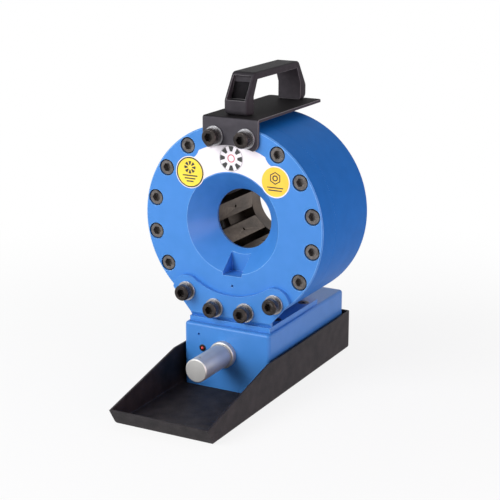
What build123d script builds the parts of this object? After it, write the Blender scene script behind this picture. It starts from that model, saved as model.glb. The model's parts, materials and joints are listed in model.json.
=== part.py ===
"""Portable hydraulic hose crimping machine, built as separate named pieces.

Row frame: X to the operator's right, Y away from the operator, Z up, in millimetres.
The origin lies on the bench, straight below the front face of the crimping head.
"""
import os
from math import cos, radians, sin, tan

from build123d import *

os.makedirs("parts", exist_ok=True)

# --- Head ---------------------------------------------------------------------
AXIS_Z = 174.0          # height of the head's axis above the bench
HEAD_R = 100.0          # outside radius of cover and cylinder
COVER_T = 30.0          # thickness of the front cover
HEAD_L = 107.0          # front face of the cover to back face of the cylinder
BORE_R = 78.0           # cylinder bore
REAR_WALL_Y = 95.0      # inside face of the cylinder's rear wall
RIM_CHAMFER = 1.2
FUNNEL_R = 52.0         # funnel radius at the front face
THROAT_R = 31.0         # radius of the straight throat behind the funnel
FUNNEL_L = 25.5         # depth of the funnel
THROAT_END = 28.5       # the throat opens out behind this, clear of the dies
THROAT_BACK_R = 34.0
POCKET_W = 10.8         # half width of the pocket in the funnel's foot
POCKET_L = 20.0         # its depth from the front face
POCKET_DROP = 54.0      # its floor below the axis
PITCH_R = 90.0          # circle of the sixteen cover screws
MARK_DROP = 64.4        # small index hole below the axis
MARK_R = 1.3
SCREW_R = 4.95          # M10 shank
TAPPED_R = 5.0
CLEAR_R = 5.5
HEAD_SCREW_R = 8.0      # M10 cap head
HEAD_SCREW_L = 10.0
CBORE_R = 8.5
CBORE_DEPTH = 11.0
SCREW_END_Y = 50.0
POCKET_END_Y = 54.0
WASHER_R = 10.0
WASHER_T = 2.0

# --- Closing mechanism ----------------------------------------------------------
PHI = 25.0              # cone face angle from the radial plane
TAN = tan(radians(PHI))
DIE_COUNT = 8
DIE_STEP = 45.0
DIE_OPEN = 33.0         # inner face apothem with the dies open
DIE_TRAVEL_IN = 12.0    # radial travel from open to closed
DIE_OUT = 72.0          # apothem of the outer land
DIE_SIDE_GAP = 0.3      # side face to sector plane with the dies closed
FRONT_Y = 31.1          # front bevel at the inner face
REAR_Y = 57.3           # rear bevel at the outer land
CONE_GAP = 0.07         # running clearance at each bevel
RING_Y0 = 30.05
RING_Y1 = 46.5
RING_HOLE_R = 34.0
RING_R = 77.9
PISTON_R = 77.9
PISTON_BORE_R = 52.1
PISTON_Y1 = 94.0
PISTON_LAND = 66.0      # apothem where the piston's cone meets its flat front
GROOVE_Y0 = 84.0        # seal grooves in the piston
GROOVE_Y1 = 88.0
GROOVE_DEPTH = 3.0
SEAL_PLAY = 0.02        # radial gap or squeeze of a seal
SEAL_SIDE = 0.05        # gap at each side of a seal
SLEEVE_R = 52.0
SLEEVE_WIDE_R = 46.0    # inside radius round the dies' tails
SLEEVE_BORE_R = 34.0    # inside radius behind the dies
SLEEVE_TAIL_R = 42.0
SLEEVE_Y0 = 70.5
SLEEVE_STEP_Y = 105.5
SLEEVE_Y1 = 125.0
TAIL_A = 43.0           # apothem of the top of a die's tail
TAIL_Y1 = 104.5
PIN_HOLE_Y = 68.0
PIN_HOLE_R = 1.6
PORT_DROP = 65.0        # oil port below the axis
PORT_R = 8.0
SPRING_A = 50.0
SPRING_Y = 53.0
SPRING_R = 3.3
SPRING_POCKET_R = 3.6
SPRING_POCKET_L = 7.0

# --- Base -----------------------------------------------------------------------
SHEET = 2.0
TRAY_W = 54.5           # half width over the side walls
TRAY_FRONT = -133.3
TRAY_BACK = 171.0
LIP_Y = -144.3
LIP_Z = 17.2
WALL_Z = 43.0
WALL_TOP_Y = -25.0
BLOCK_W = 49.0
BLOCK_Y0 = -12.5
BLOCK_Y1 = 163.4
BLOCK_Z0 = SHEET
BLOCK_Z1 = 68.6
BLOCK_WALL = 8.0
TRAY_SCREWS = [(-45, 0), (45, 0), (-45, 150), (45, 150)]
SADDLE_SCREWS = [(-38, 22), (38, 22), (-38, 86), (38, 86)]
FOOT_T = 5.3
PLATE_T = 5.0

# --- Handle ---------------------------------------------------------------------
FLANGE_W = 31.0
FLANGE_T = 3.0
FLANGE_LOW = AXIS_Z + 75.5
FLANGE_ARC_R = 80.0     # hollow lower edge, round the head's axis
PLATE_TOP = AXIS_Z + 107.5
PLATE_BACK = 139.5
HANDLE_W = 13.0
HANDLE_Y0 = 8.0
HANDLE_Y1 = 139.0
HANDLE_TOP = AXIS_Z + 148.5
HANDLE_FOOT = AXIS_Z + 122.5
HANDLE_SCREW_IN = 7.0   # handle screws from each end of the handle

# --- Setting knob -----------------------------------------------------------------
KNOB_X = -3.0
KNOB_Z = AXIS_Z - 133.2
COLLAR_R = 14.0
COLLAR_L = 6.0
KNOB_R = 12.0
KNOB_TIP_Y = -68.4
BARREL_R = 9.5
BARREL_L = 26.0
ROD_R = 3.98
ROD_HOLE_R = 4.05
ROD_END_Y = 42.0
LAMP_X = -27.4
LAMP_Z = AXIS_Z - 130.6

HEAD_AXIS = Axis((0, 0, AXIS_Z), (0, 1, 0))


def save(part, name):
    """Label one piece and write it as its own STEP file."""
    part.label = name
    export_step(part, f"parts/{name}.step")
    return part


def facing(y):
    """Sketch plane on the head's axis at depth y, looking towards the operator."""
    return Plane((0, y, AXIS_Z), x_dir=(1, 0, 0), z_dir=(0, -1, 0))


def front_plane(x, y, z):
    """Sketch plane facing the operator, centred on any point."""
    return Plane((x, y, z), x_dir=(1, 0, 0), z_dir=(0, -1, 0))


def ring_points(degrees):
    """Points on the screw circle, in degrees clockwise from the top."""
    return [(PITCH_R * sin(radians(a)), PITCH_R * cos(radians(a))) for a in degrees]


TOP_ANGLES = [-11.25, 11.25]
LOW_ANGLES = [146.25, 168.75, 191.25, 213.75]
SIDE_ANGLES = [s * a for a in (33.75, 56.25, 78.75, 101.25, 123.75) for s in (1, -1)]
ALL_ANGLES = TOP_ANGLES + LOW_ANGLES + SIDE_ANGLES


def turned(points, axis=HEAD_AXIS):
    """Revolve a closed (y, height above the head's axis) outline into a solid."""
    with BuildPart() as part:
        with BuildSketch(Plane.YZ) as section:
            with BuildLine():
                Polyline(*[(y, AXIS_Z + r) for y, r in points], close=True)
            make_face()
        revolve(axis=axis)
    return part.part


def rod(x, z, outline):
    """Revolve a closed (y, radius) outline about a Y axis through (x, z)."""
    with BuildPart() as part:
        with BuildSketch(Plane((x, 0, z), x_dir=(0, 1, 0), z_dir=(1, 0, 0))):
            with BuildLine():
                Polyline(*outline, close=True)
            make_face()
        revolve(axis=Axis((x, 0, z), (0, 1, 0)))
    return part.part


def drill(plane, points, radius, depth):
    """Cut round holes of one size inward from a plane, inside the current part."""
    with BuildSketch(plane) as holes:
        with Locations(*points):
            Circle(radius)
    extrude(holes.sketch, amount=-depth, mode=Mode.SUBTRACT)


# --- Front cover ------------------------------------------------------------------
def front_cover():
    """Round cover with a funnel, sixteen screw holes and the pocket in the funnel's foot."""
    outline = [(0, FUNNEL_R), (0, HEAD_R - RIM_CHAMFER), (RIM_CHAMFER, HEAD_R)]
    outline += [(COVER_T, HEAD_R), (COVER_T, THROAT_BACK_R), (THROAT_END, THROAT_R)]
    outline += [(FUNNEL_L, THROAT_R)]
    with BuildPart() as part:
        add(turned(outline))
        drill(facing(0), ring_points(ALL_ANGLES), CLEAR_R, COVER_T)
        drill(facing(0), ring_points(SIDE_ANGLES), CBORE_R, CBORE_DEPTH)
        drill(facing(0), [(0, -MARK_DROP)], MARK_R, 8)
        # Square pocket in the foot of the funnel, with upright walls and a level floor.
        with Locations((0, 0, AXIS_Z - POCKET_DROP)):
            Box(2 * POCKET_W, 2 * POCKET_L, 30, align=(Align.CENTER, Align.CENTER, Align.MIN),
                mode=Mode.SUBTRACT)
    return save(part.part, "front_cover")


# --- Cylinder ----------------------------------------------------------------------
def head_cylinder():
    """Cylinder with tapped holes in front and a closed rear wall with the oil port."""
    outline = [(COVER_T, BORE_R), (COVER_T, HEAD_R), (HEAD_L - RIM_CHAMFER, HEAD_R)]
    outline += [(HEAD_L, HEAD_R - RIM_CHAMFER), (HEAD_L, SLEEVE_R)]
    outline += [(REAR_WALL_Y, SLEEVE_R), (REAR_WALL_Y, BORE_R)]
    with BuildPart() as part:
        add(turned(outline))
        drill(facing(COVER_T), ring_points(ALL_ANGLES), TAPPED_R, POCKET_END_Y - COVER_T)
        drill(facing(REAR_WALL_Y - 1), [(0, -PORT_DROP)], PORT_R, HEAD_L - REAR_WALL_Y + 2)
    return save(part.part, "head_cylinder")


def rear_sleeve():
    """Fixed tube that the piston slides on, narrower behind the dies' tails."""
    outline = [(SLEEVE_Y0, SLEEVE_WIDE_R), (SLEEVE_Y0, SLEEVE_R), (HEAD_L, SLEEVE_R)]
    outline += [(HEAD_L, SLEEVE_TAIL_R), (SLEEVE_Y1 - 1.5, SLEEVE_TAIL_R)]
    outline += [(SLEEVE_Y1, SLEEVE_TAIL_R - 1.5), (SLEEVE_Y1, SLEEVE_BORE_R)]
    outline += [(SLEEVE_STEP_Y, SLEEVE_BORE_R), (SLEEVE_STEP_Y, SLEEVE_WIDE_R)]
    return save(turned(outline), "rear_sleeve")


def front_cone_ring():
    """Fixed ring whose eight flat cone faces steer the dies inward."""
    outline = [(RING_Y0, RING_HOLE_R), (RING_Y0, RING_R)]
    outline += [(RING_Y1, RING_R), (RING_Y1, RING_HOLE_R)]
    y0 = RING_Y0 - 1
    y1 = RING_Y1 + 1
    with BuildPart() as part:
        add(turned(outline))
        with BuildSketch(facing(y0)):
            RegularPolygon(cone_front(y0), DIE_COUNT, major_radius=False, rotation=DIE_STEP / 2)
        with BuildSketch(facing(y1)):
            RegularPolygon(cone_front(y1), DIE_COUNT, major_radius=False, rotation=DIE_STEP / 2)
        loft(mode=Mode.SUBTRACT)
    return save(part.part, "front_cone_ring")


def cone_front(y):
    """Apothem of the fixed ring's octagonal cavity at depth y."""
    return DIE_OPEN + (y - FRONT_Y + CONE_GAP) / TAN


def cone_rear(y):
    """Apothem of the piston's octagonal cavity at depth y."""
    return DIE_OUT - (y - REAR_Y - CONE_GAP) / TAN


def cone_piston():
    """Annular piston with an octagonal cone in front and two seal grooves."""
    y0 = REAR_Y + CONE_GAP + (DIE_OUT - PISTON_LAND) * TAN
    outer = PISTON_R - GROOVE_DEPTH
    inner = PISTON_BORE_R + GROOVE_DEPTH
    outline = [(y0, PISTON_BORE_R), (y0, PISTON_R), (GROOVE_Y0, PISTON_R), (GROOVE_Y0, outer)]
    outline += [(GROOVE_Y1, outer), (GROOVE_Y1, PISTON_R), (PISTON_Y1, PISTON_R)]
    outline += [(PISTON_Y1, PISTON_BORE_R), (GROOVE_Y1, PISTON_BORE_R), (GROOVE_Y1, inner)]
    outline += [(GROOVE_Y0, inner), (GROOVE_Y0, PISTON_BORE_R)]
    back = y0 + (PISTON_LAND - PISTON_BORE_R / 2) * TAN
    with BuildPart() as part:
        add(turned(outline))
        with BuildSketch(facing(y0 - 1)):
            RegularPolygon(cone_rear(y0 - 1), DIE_COUNT, major_radius=False, rotation=DIE_STEP / 2)
        with BuildSketch(facing(back)):
            RegularPolygon(cone_rear(back), DIE_COUNT, major_radius=False, rotation=DIE_STEP / 2)
        loft(mode=Mode.SUBTRACT)
    return save(part.part, "cone_piston")


def seals():
    """Square-section seals in the piston's outer and inner grooves."""
    front = GROOVE_Y0 + SEAL_SIDE
    back = GROOVE_Y1 - SEAL_SIDE
    rings = {
        "piston_outer_seal": (PISTON_R - GROOVE_DEPTH + SEAL_PLAY, BORE_R - SEAL_PLAY),
        "piston_inner_seal": (SLEEVE_R + SEAL_PLAY, PISTON_BORE_R + GROOVE_DEPTH - SEAL_PLAY),
    }
    for name, (low, high) in rings.items():
        save(turned([(front, low), (front, high), (back, high), (back, low)]), name)


# --- Dies ------------------------------------------------------------------------
def die_half_width(a):
    """Half width of an open die at apothem a."""
    half = radians(DIE_STEP / 2)
    return (a - DIE_TRAVEL_IN) * tan(half) - DIE_SIDE_GAP / cos(half)


def die_blank():
    """One master die in its open place at the top of the head."""
    front_out = FRONT_Y + (DIE_OUT - DIE_OPEN) * TAN
    rear_in = REAR_Y + (DIE_OUT - TAIL_A) * TAN
    with BuildPart() as part:
        with BuildSketch(facing(0)):
            with BuildLine():
                Polyline(
                    (-die_half_width(DIE_OPEN), DIE_OPEN),
                    (die_half_width(DIE_OPEN), DIE_OPEN),
                    (die_half_width(DIE_OUT), DIE_OUT),
                    (-die_half_width(DIE_OUT), DIE_OUT),
                    close=True,
                )
            make_face()
        extrude(amount=-120)
        with BuildSketch(Plane.YZ):
            with BuildLine():
                Polyline(
                    (FRONT_Y, AXIS_Z + DIE_OPEN),
                    (front_out, AXIS_Z + DIE_OUT),
                    (REAR_Y, AXIS_Z + DIE_OUT),
                    (rear_in, AXIS_Z + TAIL_A),
                    (TAIL_Y1, AXIS_Z + TAIL_A),
                    (TAIL_Y1, AXIS_Z + DIE_OPEN),
                    close=True,
                )
            make_face()
        extrude(amount=40, both=True, mode=Mode.INTERSECT)
        # Retaining-pin hole in the working face.
        with BuildSketch(Plane.XY.offset(AXIS_Z + DIE_OPEN)):
            with Locations((0, PIN_HOLE_Y)):
                Circle(PIN_HOLE_R)
        extrude(amount=7, mode=Mode.SUBTRACT)
        # Spring pockets, square to each side face.
        for side in (1, -1):
            with BuildSketch(pocket_plane(side)):
                Circle(SPRING_POCKET_R)
            extrude(amount=-SPRING_POCKET_L, mode=Mode.SUBTRACT)
    return part.part


def pocket_plane(side):
    """Plane on a die's side face, its normal pointing out of the die."""
    half = radians(DIE_STEP / 2)
    normal = (side * cos(half), 0, -sin(half))
    point = (side * die_half_width(SPRING_A), SPRING_Y, AXIS_Z + SPRING_A)
    return Plane(point, x_dir=(0, 1, 0), z_dir=normal)


def spring_blank():
    """Tube standing for the spring between the top die and its right neighbour."""
    half = radians(DIE_STEP / 2)
    reach = SPRING_A * cos(half) + die_half_width(SPRING_A) * sin(half)
    gap = 2 * (SPRING_A * sin(half) - die_half_width(SPRING_A) * cos(half))
    length = gap + 2 * SPRING_POCKET_L - 0.1
    centre = (reach * sin(half), SPRING_Y, AXIS_Z + reach * cos(half))
    with BuildPart() as part:
        with BuildSketch(Plane(centre, x_dir=(0, 1, 0), z_dir=(cos(half), 0, -sin(half)))):
            Circle(SPRING_R)
            Circle(SPRING_R - 0.8, mode=Mode.SUBTRACT)
        extrude(amount=length / 2, both=True)
    return part.part


def dies_and_springs():
    """Eight dies and eight springs, numbered clockwise from the top."""
    die = die_blank()
    spring = spring_blank()
    for index in range(DIE_COUNT):
        turn = index * DIE_STEP
        save(die.rotate(HEAD_AXIS, turn), f"master_die_{index + 1}")
        save(spring.rotate(HEAD_AXIS, turn), f"die_spring_{index + 1}")


# --- Screws ------------------------------------------------------------------------
def cap_screws(name, angles, under_head_y, end_y=SCREW_END_Y):
    """M10 socket cap screws on the screw circle, as one node."""
    with BuildPart() as part:
        for x, z in ring_points(angles):
            with BuildSketch(front_plane(x, under_head_y, AXIS_Z + z)):
                Circle(HEAD_SCREW_R)
            extrude(amount=HEAD_SCREW_L)
            with BuildSketch(front_plane(x, under_head_y, AXIS_Z + z)):
                Circle(SCREW_R)
            extrude(amount=-(end_y - under_head_y))
        face = part.faces().filter_by(Axis.Y).group_by(Axis.Y)[0]
        chamfer(face.edges(), 0.9)
        for x, z in ring_points(angles):
            with BuildSketch(front_plane(x, under_head_y - HEAD_SCREW_L, AXIS_Z + z)):
                RegularPolygon(4.0, 6, major_radius=False)
            extrude(amount=-5.5, mode=Mode.SUBTRACT)
    return save(part.part, name)


def washers(name, angles, back_y):
    """Flat washers on the screw circle, as one node."""
    with BuildPart() as part:
        with BuildSketch(facing(back_y)):
            with Locations(*ring_points(angles)):
                Circle(WASHER_R)
                Circle(CLEAR_R - 0.25, mode=Mode.SUBTRACT)
        extrude(amount=WASHER_T)
    return save(part.part, name)


def countersunk(name, points, top_z, head_r, shank_r, head_h, length, up):
    """Countersunk screws along Z; up is 1 when the head faces up and -1 when it faces down."""
    with BuildPart() as part:
        for x, y in points:
            z = [top_z, top_z - up * head_h, top_z - up * length]
            with BuildSketch(Plane((x, y, 0), x_dir=(1, 0, 0), z_dir=(0, -1, 0))):
                with BuildLine():
                    Polyline(
                        (0, z[0]), (head_r, z[0]), (shank_r, z[1]), (shank_r, z[2]), (0, z[2]),
                        close=True,
                    )
                make_face()
            revolve(axis=Axis((x, y, 0), (0, 0, 1)))
            with BuildSketch(Plane((x, y, top_z), x_dir=(1, 0, 0), z_dir=(0, 0, up))):
                RegularPolygon(shank_r * 0.62, 6, major_radius=False)
            extrude(amount=-head_h * 0.9, mode=Mode.SUBTRACT)
    return save(part.part, name)


# --- Saddle bracket under the head -----------------------------------------------------
def saddle_bracket():
    """L bracket: shaped plate on the cover's face, foot between head and housing."""
    low = ring_points(LOW_ANGLES)
    lobes = [p for p in low if p[1] > -80]
    with BuildPart() as part:
        with BuildSketch(facing(0)):
            with BuildLine():
                Polyline(
                    (-66.5, -72.5), (-46, -96), (46, -96), (66.5, -72.5),
                    (50, -74.8), (41.1, -61.5), (-41.1, -61.5), (-50, -74.8),
                    close=True,
                )
            make_face()
            with Locations(*lobes):
                Circle(16.4)
            Circle(73.8, mode=Mode.SUBTRACT)
            with BuildLine():
                Polyline(
                    (-66.5, -40), (-66.5, -72.5), (-46, -96), (46, -96), (66.5, -72.5),
                    (66.5, -40), close=True,
                )
            make_face(mode=Mode.INTERSECT)
        extrude(amount=PLATE_T)
        with BuildSketch(Plane.YZ):
            with BuildLine():
                Polyline(
                    (0, AXIS_Z - 95), (-PLATE_T, AXIS_Z - 95), (-PLATE_T, AXIS_Z - 96),
                    (-2.0, AXIS_Z - 100.4), (-6.0, AXIS_Z - 100.4), (-6.0, BLOCK_Z1),
                    (104, BLOCK_Z1), (104, BLOCK_Z1 + FOOT_T), (0, BLOCK_Z1 + FOOT_T),
                    close=True,
                )
            make_face()
        extrude(amount=46, both=True)
        drill(facing(-PLATE_T), low, CLEAR_R, PLATE_T)
        for x, y in SADDLE_SCREWS:
            with Locations((x, y, BLOCK_Z1 + FOOT_T)):
                CounterSinkHole(3.2, 6.1, FOOT_T, 90)
    return save(part.part, "saddle_bracket")


# --- Housing and tray ----------------------------------------------------------------
def base_housing():
    """Cast housing, open below, with the knob, lamp and screw holes."""
    size_y = BLOCK_Y1 - BLOCK_Y0
    size_z = BLOCK_Z1 - BLOCK_Z0
    mid_y = (BLOCK_Y0 + BLOCK_Y1) / 2
    with BuildPart() as part:
        with Locations((0, mid_y, BLOCK_Z0 + size_z / 2)):
            Box(2 * BLOCK_W, size_y, size_z)
        fillet(part.edges().filter_by(Axis.Z), 4.0)
        top = part.faces().sort_by(Axis.Z)[-1].edges()
        fillet(top, 3.0)
        with Locations((0, mid_y, BLOCK_Z0 + (size_z - BLOCK_WALL) / 2)):
            Box(2 * (BLOCK_W - BLOCK_WALL), size_y - 2 * BLOCK_WALL, size_z - BLOCK_WALL,
                mode=Mode.SUBTRACT)
        drill(front_plane(KNOB_X, BLOCK_Y0, KNOB_Z), [(0, 0)], 4.1, BLOCK_WALL)
        drill(front_plane(LAMP_X, BLOCK_Y0, LAMP_Z), [(0, 0)], 2.6, BLOCK_WALL)
        drill(front_plane(-32, BLOCK_Y0, AXIS_Z - 116.5), [(0, 0)], MARK_R, 5)
        drill(Plane.XY.offset(BLOCK_Z1), SADDLE_SCREWS, 3.0, BLOCK_WALL)
        with BuildSketch(Plane.XY.offset(BLOCK_Z0)):
            with Locations(*TRAY_SCREWS):
                Circle(2.0)
        extrude(amount=12, mode=Mode.SUBTRACT)
    return save(part.part, "base_housing")


def tray_outline(inset):
    """Side outline of the tray, moved inward by inset, open above the walls when inset."""
    if inset == 0:
        return [(TRAY_FRONT, 0), (TRAY_BACK, 0), (TRAY_BACK, WALL_Z),
                (WALL_TOP_Y, WALL_Z), (LIP_Y, LIP_Z)]
    slope = (LIP_Y - TRAY_FRONT) / LIP_Z
    foot = TRAY_FRONT + inset * (1 + slope ** 2) ** 0.5 + inset * slope
    return [(foot, inset), (TRAY_BACK - inset, inset), (TRAY_BACK - inset, 70),
            (foot + (70 - inset) * slope, 70)]


def tray_solid(inset, radius):
    """Solid block of the tray's outside or inside, with its bends rounded."""
    with BuildPart() as part:
        with BuildSketch(Plane.YZ):
            with BuildLine():
                Polyline(*tray_outline(inset), close=True)
            make_face()
        extrude(amount=TRAY_W - inset, both=True)
        back = part.faces().sort_by(Axis.Y)[-1]
        bends = back.edges().filter_by(Axis.Z)
        bends += part.faces().sort_by(Axis.Z)[0].edges()
        fillet(bends, radius)
    return part.part


def base_tray():
    """Folded sheet tray with a flared front lip and walls on three sides."""
    with BuildPart() as part:
        add(tray_solid(0, 3.5))
        add(tray_solid(SHEET, 1.5), mode=Mode.SUBTRACT)
        with Locations(*[(x, y, 0) for x, y in TRAY_SCREWS]):
            Cone(3.85, 2.15, SHEET, align=(Align.CENTER, Align.CENTER, Align.MIN),
                 mode=Mode.SUBTRACT)
    return save(part.part, "base_tray")


# --- Handle ------------------------------------------------------------------------
def handle_bracket():
    """Bent sheet: flange on the cover's face and a plate over the head."""
    with BuildPart() as part:
        with BuildSketch(Plane.YZ):
            with BuildLine():
                Polyline(
                    (0, FLANGE_LOW), (-FLANGE_T, FLANGE_LOW), (-FLANGE_T, PLATE_TOP),
                    (PLATE_BACK, PLATE_TOP), (PLATE_BACK, PLATE_TOP - FLANGE_T),
                    (0, PLATE_TOP - FLANGE_T), close=True,
                )
            make_face()
        extrude(amount=FLANGE_W, both=True)
        low = part.edges().filter_by(Axis.Y).group_by(Axis.Z)[0]
        fillet(low, 9.0)
        with BuildSketch(facing(0)):
            Circle(FLANGE_ARC_R)
        extrude(amount=FLANGE_T, mode=Mode.SUBTRACT)
        bend = part.edges().filter_by(Axis.X).filter_by_position(
            Axis.Y, -FLANGE_T - 0.1, -FLANGE_T + 0.1
        ).sort_by(Axis.Z)[-1]
        fillet(bend, 2.5)
        corners = part.edges().filter_by(Axis.Z).filter_by_position(
            Axis.Y, PLATE_BACK - 0.1, PLATE_BACK + 0.1
        )
        fillet(corners, 4.0)
        drill(facing(-FLANGE_T), ring_points(TOP_ANGLES), CLEAR_R, FLANGE_T)
        front = (0, HANDLE_Y0 + HANDLE_SCREW_IN, PLATE_TOP)
        back = (0, HANDLE_Y1 - HANDLE_SCREW_IN, PLATE_TOP)
        with Locations(front, back):
            Hole(3.2, FLANGE_T)
    return save(part.part, "handle_bracket")


def carry_handle():
    """Moulded bridge handle with sloping ends and open end recesses."""
    y0 = HANDLE_Y0
    y1 = HANDLE_Y1
    rise = HANDLE_TOP - HANDLE_FOOT
    run = 17.0
    mid = (y0 + y1) / 2
    with BuildPart() as part:
        with BuildSketch(Plane.YZ) as side:
            with BuildLine():
                Polyline(
                    (y0, PLATE_TOP), (y0, HANDLE_FOOT), (y0 + run, HANDLE_TOP),
                    (y1 - run, HANDLE_TOP), (y1, HANDLE_FOOT), (y1, PLATE_TOP),
                    close=True,
                )
            make_face()
            fillet(side.vertices().group_by(Axis.Z)[-1], 6.0)
            with BuildLine():
                Polyline(
                    (y0 + 14, PLATE_TOP - 1), (y0 + 14, HANDLE_FOOT + 3),
                    (y0 + 22, HANDLE_TOP - 7), (y1 - 22, HANDLE_TOP - 7),
                    (y1 - 14, HANDLE_FOOT + 3), (y1 - 14, PLATE_TOP - 1), close=True,
                )
            make_face(mode=Mode.SUBTRACT)
        extrude(amount=HANDLE_W, both=True)
        long_edges = part.faces().sort_by(Axis.Z)[-1].edges().filter_by(Axis.Y)
        fillet(long_edges, 2.5)
        # Recess between the side walls at each sloping end.
        for sign, end in ((1, y0), (-1, y1)):
            with BuildSketch(Plane.YZ):
                with BuildLine():
                    Polyline(
                        (end - sign * 2, HANDLE_FOOT), (end + sign * 10, HANDLE_FOOT),
                        (end + sign * 16.5, HANDLE_FOOT + rise * 0.62),
                        (end - sign * 2, HANDLE_FOOT + rise * 0.62), close=True,
                    )
                make_face()
            extrude(amount=HANDLE_W - 3, both=True, mode=Mode.SUBTRACT)
            with BuildSketch(Plane.XY.offset(PLATE_TOP)):
                with Locations((0, end + sign * HANDLE_SCREW_IN)):
                    Circle(3.0)
            extrude(amount=HANDLE_FOOT - PLATE_TOP - 2, mode=Mode.SUBTRACT)
    return save(part.part, "carry_handle")


def handle_screws():
    """Two low-head screws from below the bracket into the handle's feet."""
    under = PLATE_TOP - FLANGE_T
    with BuildPart() as part:
        for y in (HANDLE_Y0 + HANDLE_SCREW_IN, HANDLE_Y1 - HANDLE_SCREW_IN):
            with BuildSketch(Plane.XY.offset(under)):
                with Locations((0, y)):
                    Circle(5.2)
            extrude(amount=-3.2)
            with BuildSketch(Plane.XY.offset(under)):
                with Locations((0, y)):
                    Circle(2.95)
            extrude(amount=13)
            with BuildSketch(Plane((0, y, under - 3.2), x_dir=(1, 0, 0), z_dir=(0, 0, -1))):
                RegularPolygon(2.0, 6, major_radius=False)
            extrude(amount=-2.0, mode=Mode.SUBTRACT)
    return save(part.part, "handle_screws")


# --- Setting knob, limit rod and lamp --------------------------------------------------
def setting_parts():
    """Collar and barrel on the housing; knob, rod and switch that set the crimp size."""
    face = BLOCK_Y0
    save(rod(KNOB_X, KNOB_Z, [
        (face, ROD_HOLE_R), (face, COLLAR_R), (face - COLLAR_L + 0.8, COLLAR_R),
        (face - COLLAR_L, COLLAR_R - 0.8), (face - COLLAR_L, ROD_HOLE_R),
    ]), "knob_collar")
    barrel_front = face - COLLAR_L - BARREL_L
    save(rod(KNOB_X, KNOB_Z, [
        (face - COLLAR_L, ROD_HOLE_R), (face - COLLAR_L, BARREL_R),
        (barrel_front, BARREL_R), (barrel_front, ROD_HOLE_R),
    ]), "scale_barrel")
    tip = KNOB_TIP_Y
    back = face - COLLAR_L - 0.5
    with BuildPart() as knob:
        add(rod(KNOB_X, KNOB_Z, [
            (back, BARREL_R + 0.06), (back, KNOB_R), (tip + 1.0, KNOB_R),
            (tip, KNOB_R - 1.0), (tip, 0), (tip + 4, 0), (tip + 4, 4.0),
            (tip + 12, 4.0), (tip + 12, BARREL_R + 0.06),
        ]))
        with BuildSketch(Plane((KNOB_X, tip + 8, KNOB_Z + KNOB_R), z_dir=(0, 0, 1))):
            Circle(1.5)
        extrude(amount=-7.0, mode=Mode.SUBTRACT)
    save(knob.part, "setting_knob")
    save(rod(KNOB_X, KNOB_Z, [
        (tip + 4, 0), (tip + 4, ROD_R), (ROD_END_Y, ROD_R), (ROD_END_Y, 0),
    ]), "limit_rod")
    with BuildPart() as switch:
        with Locations((KNOB_X, 52, (30 + BLOCK_Z1 - BLOCK_WALL) / 2)):
            Box(20, 14, BLOCK_Z1 - BLOCK_WALL - 30)
        with Locations((KNOB_X, 44.4, KNOB_Z)):
            Box(6, 1.2, 10)
    save(switch.part, "limit_switch")
    save(rod(LAMP_X, LAMP_Z, [
        (face + 6, 1.6), (face + 6, 2.55), (face, 2.55), (face, 3.6),
        (face - 1.0, 3.6), (face - 1.5, 3.1), (face - 1.5, 2.0), (face - 0.5, 1.6),
    ]), "lamp_bezel")
    save(rod(LAMP_X, LAMP_Z, [
        (face + 4, 0), (face + 4, 1.55), (face - 1.2, 1.55), (face - 2.1, 1.0),
        (face - 2.4, 0),
    ]), "lamp_lens")


# --- Oil connection ------------------------------------------------------------------
def hydraulic_coupler():
    """Male quick coupler screwed into the rear wall."""
    z = AXIS_Z - PORT_DROP
    back = HEAD_L
    with BuildPart() as part:
        add(rod(0, z, [
            (back - 11, 3.5), (back - 11, 7.95), (back, 7.95), (back, 11.0),
            (back + 12, 11.0), (back + 12, 8.5), (back + 15, 8.5), (back + 15, 9.5),
            (back + 19, 9.5), (back + 19, 8.2), (back + 22, 8.2), (back + 22, 9.5),
            (back + 33, 9.5), (back + 34.5, 8.0), (back + 34.5, 3.5),
        ]))
        with BuildSketch(front_plane(0, back + 11, z)):
            RegularPolygon(12.0, 6, major_radius=False)
            Circle(5.0, mode=Mode.SUBTRACT)
        extrude(amount=10)
    return save(part.part, "hydraulic_coupler")


if __name__ == "__main__":
    front_cover()
    head_cylinder()
    rear_sleeve()
    front_cone_ring()
    cone_piston()
    seals()
    dies_and_springs()
    cap_screws("cover_screws", SIDE_ANGLES, CBORE_DEPTH)
    cap_screws("handle_bracket_screws", TOP_ANGLES, -FLANGE_T - WASHER_T)
    cap_screws("saddle_screws_front", LOW_ANGLES, -PLATE_T - WASHER_T)
    washers("handle_bracket_washers", TOP_ANGLES, -FLANGE_T)
    washers("saddle_washers", LOW_ANGLES, -PLATE_T)
    countersunk("saddle_screws_foot", SADDLE_SCREWS, BLOCK_Z1 + FOOT_T, 6.0, 2.95, 3.05, 13, 1)
    countersunk("tray_screws", TRAY_SCREWS, 0, 3.7, 1.95, 1.9, 12, -1)
    saddle_bracket()
    base_housing()
    base_tray()
    handle_bracket()
    carry_handle()
    handle_screws()
    setting_parts()
    hydraulic_coupler()
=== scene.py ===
# %% [markdown]
# # Hose crimping machine: the looks
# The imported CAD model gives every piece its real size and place. This file dresses it: paint on the
# head and housing, black oxide on the screws, powder coat on the sheet metal, turned aluminium on the
# knob, plus the labels, springs and knurls that are too fine for the CAD. The same could be done by
# hand in the viewport. A script is used because it runs again, unchanged, on every new pack of the
# CAD. Nothing is moved or resized.

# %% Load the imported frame
import json
import math

import bmesh
import bpy
from mathutils import Matrix, Vector

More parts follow.
